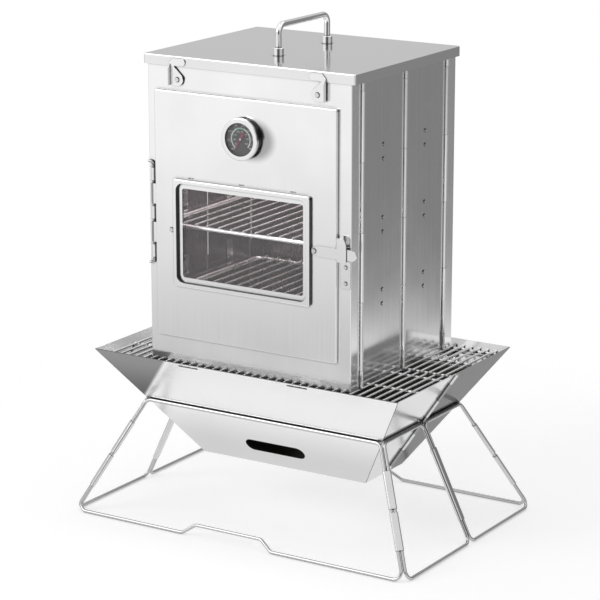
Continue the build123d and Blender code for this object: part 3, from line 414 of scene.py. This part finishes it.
def add_floor():
    """Pale round floor that fades into the backdrop."""
    bpy.ops.mesh.primitive_circle_add(
        vertices=96, radius=FLOOR_RADIUS, fill_type="NGON", location=(0, 0, FLOOR_Z)
    )
    floor = bpy.context.object
    floor.name = "studio_floor"
    made, graph = new_material("floor")
    where = graph.node("ShaderNodeNewGeometry").outputs["Position"]
    away = graph.node("ShaderNodeVectorMath", {0: where}, operation="LENGTH").outputs["Value"]
    lit = graph.node("ShaderNodeBsdfDiffuse", {"Color": grey(FLOOR_COLOUR)}).outputs[0]
    fill = graph.node("ShaderNodeEmission", {"Color": grey(1.0), "Strength": FLOOR_FILL}).outputs[0]
    none = graph.node("ShaderNodeEmission", {"Strength": 0.0}).outputs[0]
    extra = graph.node("ShaderNodeMixShader", {0: shows_background(graph), 1: none, 2: fill}).outputs[0]
    both = graph.node("ShaderNodeAddShader", {0: lit, 1: extra}).outputs[0]
    clear = graph.node("ShaderNodeBsdfTransparent").outputs[0]
    fade = graph.ramp(away, *FLOOR_FADE)
    out = graph.node("ShaderNodeMixShader", {0: fade, 1: both, 2: clear}).outputs[0]
    graph.node("ShaderNodeOutputMaterial", {"Surface": out})
    floor.data.materials.append(made)


# Darker parts of the studio that only the metal mirrors. Each has its direction, the cosines where it
# begins and is full, the heights where it begins and is full, and its level.
DARK_PARTS = [
    ((0.60, 0.80, 0.0), (0.62, 0.93), (-0.274, -0.256), 0.26),      # what the right wall mirrors
    ((0.53, -0.84, -0.02), (0.78, 0.96), (-0.22, -0.08), 0.10),     # dark lines on the round bars
    ((-0.51, 0.82, 0.25), (0.70, 0.93), (0.0, 0.12), 0.60),         # what the lid mirrors
    ((-0.51, -0.82, -0.27), (0.72, 0.94), (-0.195, -0.30), 0.44),   # what the front mirrors low down
    ((0.0, 0.15, 1.0), (0.86, 0.97), None, 0.30),                   # ceiling, for the bars and the lid
    ((1.0, -0.15, -0.25), (0.80, 0.98), None, 0.50),                # right side, seen from the right
    ((-1.0, 0.05, -0.25), (0.80, 0.98), None, 0.50),                # left side, seen from the left
]
LIGHT_LEVEL = 0.5               # the world's own light on the object


def add_world():
    """White studio with a few darker parts, for the metal to mirror."""
    world = bpy.data.worlds.new("studio")
    bpy.context.scene.world = world
    world.use_nodes = True
    graph = Graph(world.node_tree)
    toward = graph.node("ShaderNodeTexCoord").outputs["Generated"]
    height = axes(graph, toward)["Z"]
    reflected = graph.math("SUBTRACT", 1.0, graph.node("ShaderNodeLightPath").outputs["Is Camera Ray"])
    seen = grey(1.0)
    for direction, cosines, heights, level in DARK_PARTS:
        middle = tuple(Vector(direction).normalized())
        facing = graph.node("ShaderNodeVectorMath", {0: toward, 1: middle}, operation="DOT_PRODUCT")
        part = graph.ramp(facing.outputs["Value"], *cosines)
        if heights:
            part = graph.math("MULTIPLY", part, graph.ramp(height, *heights))
        seen = graph.mix(graph.math("MULTIPLY", part, reflected), seen, grey(level))
    back = graph.node("ShaderNodeBackground", {"Color": seen, "Strength": 1.0}).outputs[0]
    light = graph.node("ShaderNodeBackground", {"Color": grey(1.0), "Strength": LIGHT_LEVEL}).outputs[0]
    out = graph.node("ShaderNodeMixShader", {0: shows_background(graph), 1: light, 2: back}).outputs[0]
    graph.node("ShaderNodeOutputWorld", {"Surface": out})


LAMPS = [
    # name, place, aimed at, size, watts, the body that it moves with
    ("key", (-1.6, -2.2, 2.0), (0, 0, 0.35), (1.6, 1.6), 22.0, None),
    ("top", (0.2, 0.2, 2.6), (0, 0, 0.4), (2.8, 2.8), 15.0, None),
    ("cavity", (0.0, -0.02, 0.60), (0, 0, 0.3), (0.16, 0.16), 0.75, "oven"),
]


def add_lamp(name, place, aim, size, power, body):
    data = bpy.data.lights.new(name, "AREA")
    data.shape = "RECTANGLE"
    data.size, data.size_y = size
    data.energy = power
    lamp = bpy.data.objects.new(name, data)
    bpy.context.scene.collection.objects.link(lamp)
    lamp.location = place
    lamp.rotation_mode = "QUATERNION"
    lamp.rotation_quaternion = (Vector(aim) - Vector(place)).to_track_quat("-Z", "Y")
    if body:
        lamp.parent = BODIES[body]


# ---- the dial's printing -----------------------------------------------------------------------
DIAL = Vector((-0.0034, -0.1394, 0.5222))       # middle of the plate's front
PRINT_LIFT = 0.00008                            # print in front of the plate
BAND_INNER = 0.0129
BAND_OUTER = 0.0146
BAND_FROM, BAND_TO = 234, -42                   # degrees, over the top
GREEN_FROM, GREEN_TO = 118, 72
MARKS = 16
OUTER_NUMBERS = (range(100, 900, 100), 0.0183, 226, -34, 0.0034)    # values, radius, from, to, size
INNER_NUMBERS = (range(50, 450, 50), 0.0098, 222, -30, 0.0028)
CAP_RINGS = [(0.0015, 0.00131), (0.0015, 0.00145), (0.0011, 0.00160), (0.0005, 0.00167)]    # r, lift
CAP_SIDES = 24


def dial_point(radius, degrees, lift=PRINT_LIFT):
    """Point in front of the plate, with the angle counted from the right against the clock."""
    turn = math.radians(degrees)
    return DIAL + Vector((radius * math.cos(turn), -lift, radius * math.sin(turn)))


def print_piece(name, material, make, body="door"):
    """Small mesh on the dial, in the door's or the needle's body."""
    mesh = bpy.data.meshes.new(name)
    work = bmesh.new()
    make(work)
    work.to_mesh(mesh)
    work.free()
    mesh.materials.append(material)
    piece = bpy.data.objects.new(name, mesh)
    bpy.context.scene.collection.objects.link(piece)
    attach(piece, body)
    return piece


def band(work, inner, outer, start, end, steps):
    """Ring segment, seen from the front."""
    rim = []
    for i in range(steps + 1):
        degrees = start + (end - start) * i / steps
        rim.append([work.verts.new(dial_point(radius, degrees)) for radius in (inner, outer)])
    for (a, b), (c, d) in zip(rim, rim[1:]):
        work.faces.new((a, b, d, c))


def tick(work, inner, outer, degrees, width):
    """One mark that points at the dial's middle."""
    half = math.degrees(width / 2 / outer)
    corners = [(inner, -half), (outer, -half), (outer, half), (inner, half)]
    work.faces.new([work.verts.new(dial_point(radius, degrees + step)) for radius, step in corners])


def numerals(work, values, radius, start, end, size):
    """Upright numbers round the dial."""
    for i, value in enumerate(values):
        text = bpy.data.curves.new("numeral", "FONT")
        text.body = str(value)
        text.size = size
        text.align_x = "CENTER"
        text.align_y = "CENTER"
        holder = bpy.data.objects.new("numeral", text)
        outline = bpy.data.meshes.new_from_object(holder)
        middle = dial_point(radius, start + (end - start) * i / (len(values) - 1))
        outline.transform(Matrix.Translation(middle) @ Matrix.Rotation(math.radians(90), 4, "X"))
        work.from_mesh(outline)
        bpy.data.meshes.remove(outline)
        bpy.data.objects.remove(holder)
        bpy.data.curves.remove(text)


def add_printing():
    pale = paint("print_pale", (0.78, 0.84, 0.82, 1.0), 0.5)
    green = paint("print_green", (0.36, 0.66, 0.52, 1.0), 0.5)

    def scale_band(work):
        band(work, BAND_INNER, BAND_OUTER, BAND_TO, GREEN_TO, 40)
        band(work, BAND_INNER, BAND_OUTER, GREEN_FROM, BAND_FROM, 40)

    def green_band(work):
        band(work, BAND_INNER, BAND_OUTER, GREEN_TO, GREEN_FROM, 18)

    def marks(work):
        for i in range(MARKS):
            long_mark = i % 2 == 0
            degrees = BAND_FROM - (BAND_FROM - BAND_TO) * i / (MARKS - 1)
            tick(work, 0.0149, 0.0166 if long_mark else 0.0158, degrees, 0.00045)
            tick(work, 0.0120 if long_mark else 0.0124, 0.0127, degrees, 0.0004)

    def numbers(work):
        numerals(work, *OUTER_NUMBERS)
        numerals(work, *INNER_NUMBERS)

    def cap(work):
        steps = [360 / CAP_SIDES * i for i in range(CAP_SIDES)]
        loops = [[work.verts.new(dial_point(r, step, lift)) for step in steps] for r, lift in CAP_RINGS]
        for low_loop, high_loop in zip(loops, loops[1:]):
            for i in range(CAP_SIDES):
                j = (i + 1) % CAP_SIDES
                work.faces.new((low_loop[i], low_loop[j], high_loop[j], high_loop[i]))
        work.faces.new(loops[-1])

    hub = print_piece("needle_hub_cap", paint("hub_enamel", (0.85, 0.84, 0.83, 1.0), 0.3), cap, "needle")
    hub.data.shade_smooth()
    print_piece("dial_scale_band", pale, scale_band)
    print_piece("dial_green_band", green, green_band)
    print_piece("dial_marks", pale, marks)
    print_piece("dial_numbers", pale, numbers)


# ---- materials on the CAD nodes ----------------------------------------------------------------
def dress():
    """Give each CAD node the material with the longest key that its name begins with."""
    rivet = bright_wire("rivet_steel", 0.72, 0.16, (0.0030, 0.05), dark_flanks)
    bright = {"colour": 0.94, "roughness": 0.16, "streak": 0.012}
    sheet = steel("front_sheet", along="Z", crease=(0.005, 0.35), extra=inside_dulled, **bright)
    door = steel("door_sheet", along="Z", crease=(0.005, 0.35), extra=door_marks, **bright)
    window = steel("window_sheet", along="X", crease=(0.003, 0.30), extra=frame_marks, **bright)
    hopper = steel("hopper_sheet", 0.88, 0.18, "X", streak=0.02, extra=long_plate_marks)
    front_plate = steel("hopper_front_sheet", 0.93, 0.18, "X", streak=0.015, extra=front_plate_marks)
    # the hopper's right ends are darker copies of the hopper's steel: painted shade
    end_front_shaded = steel("hopper_end_sheet_shaded", 0.74, 0.12, "X", extra=end_marks)
    end_rear_shaded = steel("hopper_far_end_sheet_shaded", 0.38, 0.14, "X", edge=0.5, extra=end_marks)
    trim = steel("trim_sheet", 0.90, 0.16, "X", streak=0.02, crease=(0.0022, 0.08))
    wire = bright_wire("wire", 0.84, 0.05)
    bars = bright_wire("grate_wire", 0.92, 0.30, extra=grate_marks)
    looks = {
        # stand
        # darker than the other wire, standing in for the stand's darker reflections: painted shade
        "stand_": bright_wire("stand_wire", 0.52, 0.10),
        "stand_sleeve": bright_wire("sleeve_sheet", 0.66, 0.14),
        # fire hopper and cooking grates
        "hopper_": hopper,
        "hopper_front": front_plate,
        "hopper_leaf_right_front": end_front_shaded,
        "hopper_leaf_right_rear": end_rear_shaded,
        "hopper_hinge": wire,
        "ash_plate": hopper,
        "coal_grate": hopper,
        "grate_": bars,
        # oven box
        "front_panel": sheet,
        "back_panel": sheet,
        # the oven's side walls get a darker copy of the front's steel: painted shade
        "wall_leaf": steel("side_sheet_shaded", 0.78, 0.13, "Z", crease=(0.003, 0.60), extra=inside_dulled),
        "wall_hinge": wire,
        "shelf_": trim,
        "bracket_": rivet,
        "rack_": bars,
        # lid
        "lid": steel("lid_sheet", 0.82, 0.10, "X", streak=0.02),
        "lid_handle": wire,
        "handle_": wire,
        "lid_clip": trim,
        "lid_clip_rivets": rivet,
        # door
        "door_panel": door,
        "door_hinge_rod": bright_wire("hinge_steel", 0.42, 0.12, (0.0040, 0.05)),
        "door_hinge_lugs": trim,
        "window_frame": window,
        "window_gasket": rubber("gasket"),
        "window_glass": pane("glass", 0.08),
        "window_clamp": trim,
        "window_rivet": rivet,
        "latch_": trim,
        "latch_pivot": rivet,
        "latch_keeper_rivets": rivet,
        # thermometer
        "thermometer_": wire,
        "thermometer_case": bright_wire("case_steel", 0.26, 0.12),
        "thermometer_dial": paint("dial_paint", grey(0.10), 0.5),
        "thermometer_needle": paint("needle_paint", (0.42, 0.05, 0.12, 1.0), 0.35),
        "thermometer_lens": pane("lens", 0.05),
    }
    for name, node in NODES.items():
        best = max((key for key in looks if name.startswith(key)), key=len)
        node.data.materials.clear()
        node.data.materials.append(looks[best])


# ---- the scene ---------------------------------------------------------------------------------
add_camera()
add_floor()
add_world()
for lamp in LAMPS:
    add_lamp(*lamp)
dress()
add_printing()

bpy.context.scene.view_settings.view_transform = "Standard"
